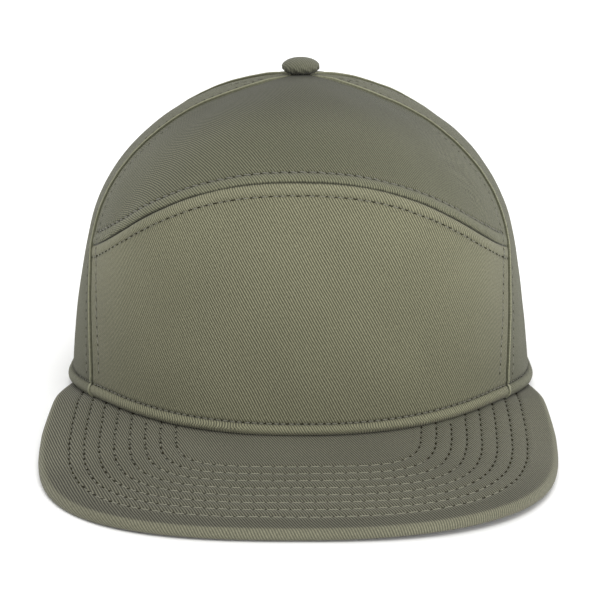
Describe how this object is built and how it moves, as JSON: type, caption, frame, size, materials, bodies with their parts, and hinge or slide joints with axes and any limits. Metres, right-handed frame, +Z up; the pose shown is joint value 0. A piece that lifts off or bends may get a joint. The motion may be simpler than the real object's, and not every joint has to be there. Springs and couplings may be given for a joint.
{
  "type": "six-panel cap",
  "caption": "Flat-brimmed cloth cap with a tall arched front, side and back panels, a covered button and a half-round back opening closed by a plain strap.",
  "frame": {"origin": "on the table, under the middle of the whole cap", "axes": "+Z up, -Y towards the brim, +X towards the wearer's left"},
  "size_m": [0.1846, 0.264, 0.1245],
  "materials": {
    "front_twill": "matte washed cotton twill",
    "crown_twill": "matte washed cotton twill",
    "brim_twill": "matte washed cotton twill, stitched in rows",
    "button_twill": "matte washed cotton twill, pulled over a button",
    "band_cloth": "matte cotton band"
  },
  "bodies": {
    "root": {"lower_front_panel": "front_twill", "upper_front_panel": "crown_twill", "left_side_panel": "crown_twill", "right_side_panel": "crown_twill", "left_back_panel": "crown_twill", "right_back_panel": "crown_twill", "brim": "brim_twill", "top_button": "button_twill", "sweatband": "band_cloth", "closure_strap": "band_cloth"}
  },
  "joints": []
}
